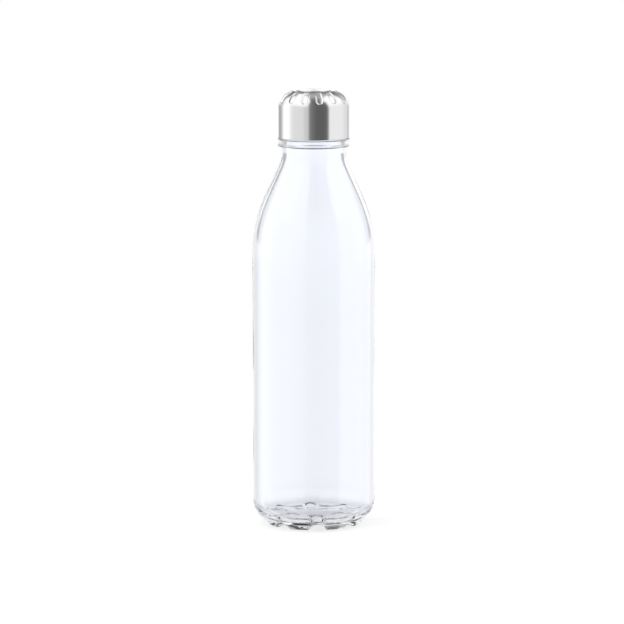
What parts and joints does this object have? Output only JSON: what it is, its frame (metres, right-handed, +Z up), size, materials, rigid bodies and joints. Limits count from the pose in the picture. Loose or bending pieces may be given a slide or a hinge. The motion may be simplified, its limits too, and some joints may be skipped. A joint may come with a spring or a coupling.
{
  "type": "glass water bottle",
  "caption": "Clear glass water bottle with a sloping shoulder, a notched heel and a fluted brushed-steel screw cap over a clear threaded insert.",
  "frame": {"origin": "centre of the resting plane, under the feet of the heel, on the bottle's axis", "axes": "+Z up through the mouth and the cap; -Y is the front; +X is the viewer's right"},
  "size_m": [0.072, 0.072, 0.256],
  "materials": {
    "clear_glass": "polished",
    "brushed_steel": "brushed",
    "clear_plastic": "gloss",
    "silicone": "matt"
  },
  "bodies": {
    "bottle": {"glass_bottle": "clear_glass"},
    "seal": {"seal_washer": "silicone"},
    "cap": {"cap_shell": "brushed_steel", "thread_insert": "clear_plastic"}
  },
  "joints": [
    {"name": "cap_rise", "type": "slide", "parent": "bottle", "child": "seal", "axis": [0, 0, 1], "range_m": [0, 0.00635]},
    {"name": "cap_turn", "type": "hinge", "parent": "seal", "child": "cap", "pos_m": [0, 0, 0.24], "axis": [0, 0, 1], "range_deg": [0, 540]}
  ],
  "couplings": [
    {"joint": "cap_rise", "follows": "cap_turn", "m_per_rad": 0.00067376}
  ]
}
